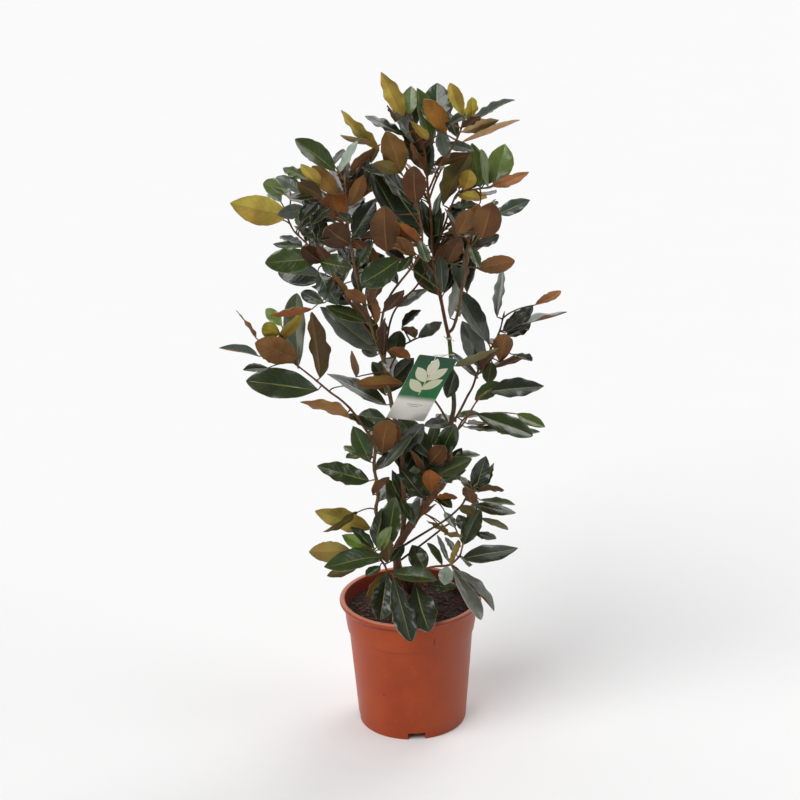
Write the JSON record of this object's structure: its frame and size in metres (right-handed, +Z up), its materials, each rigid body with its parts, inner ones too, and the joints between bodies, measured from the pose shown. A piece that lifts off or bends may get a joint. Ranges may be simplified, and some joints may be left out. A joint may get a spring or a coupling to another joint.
{
  "type": "potted southern magnolia",
  "caption": "Branching evergreen magnolia shrub with glossy leaves, felted brown beneath, rooted in soil in a round terracotta-coloured plastic pot, with a picture label hung on its stem.",
  "frame": {"origin": "centre of the pot's flat underside, on the surface that it stands on", "axes": "+Z up along the pot's axis, -Y towards the side that the picture shows, +X to the right of that side"},
  "size_m": [0.679, 0.4614, 1.2813],
  "materials": {
    "pot_plastic": "satin moulded plastic, terracotta coloured",
    "potting_soil": "loose damp bark compost with chips",
    "label_card": "smooth printed card",
    "label_loop_plastic": "pale thin strap",
    "tie_twine": "pale twisted twine",
    "stem_and_leaf": "glossy dark green leaves with brown felt beneath, brown bark"
  },
  "bodies": {
    "root": {"pot": "pot_plastic", "soil": "potting_soil", "plant_label": "label_card", "label_loop": "label_loop_plastic", "stem_tie": "tie_twine", "trunk_and_right_leader": "stem_and_leaf", "middle_leader": "stem_and_leaf", "left_stem": "stem_and_leaf", "right_thin_stem": "stem_and_leaf", "right_thin_shoot": "stem_and_leaf", "low_right_shoot": "stem_and_leaf", "low_left_shoot": "stem_and_leaf", "top_right_shoot": "stem_and_leaf", "right_side_shoot": "stem_and_leaf", "right_branch": "stem_and_leaf", "right_spray": "stem_and_leaf", "right_mid_shoot": "stem_and_leaf", "right_low_spray": "stem_and_leaf", "centre_right_branch": "stem_and_leaf", "centre_branch": "stem_and_leaf", "centre_twig": "stem_and_leaf", "upper_left_branch": "stem_and_leaf", "upper_left_twig": "stem_and_leaf", "upper_twig": "stem_and_leaf", "back_low_shoot": "stem_and_leaf", "back_middle_shoot": "stem_and_leaf", "back_left_shoot": "stem_and_leaf", "back_high_shoot": "stem_and_leaf", "back_top_shoot": "stem_and_leaf"}
  },
  "joints": []
}
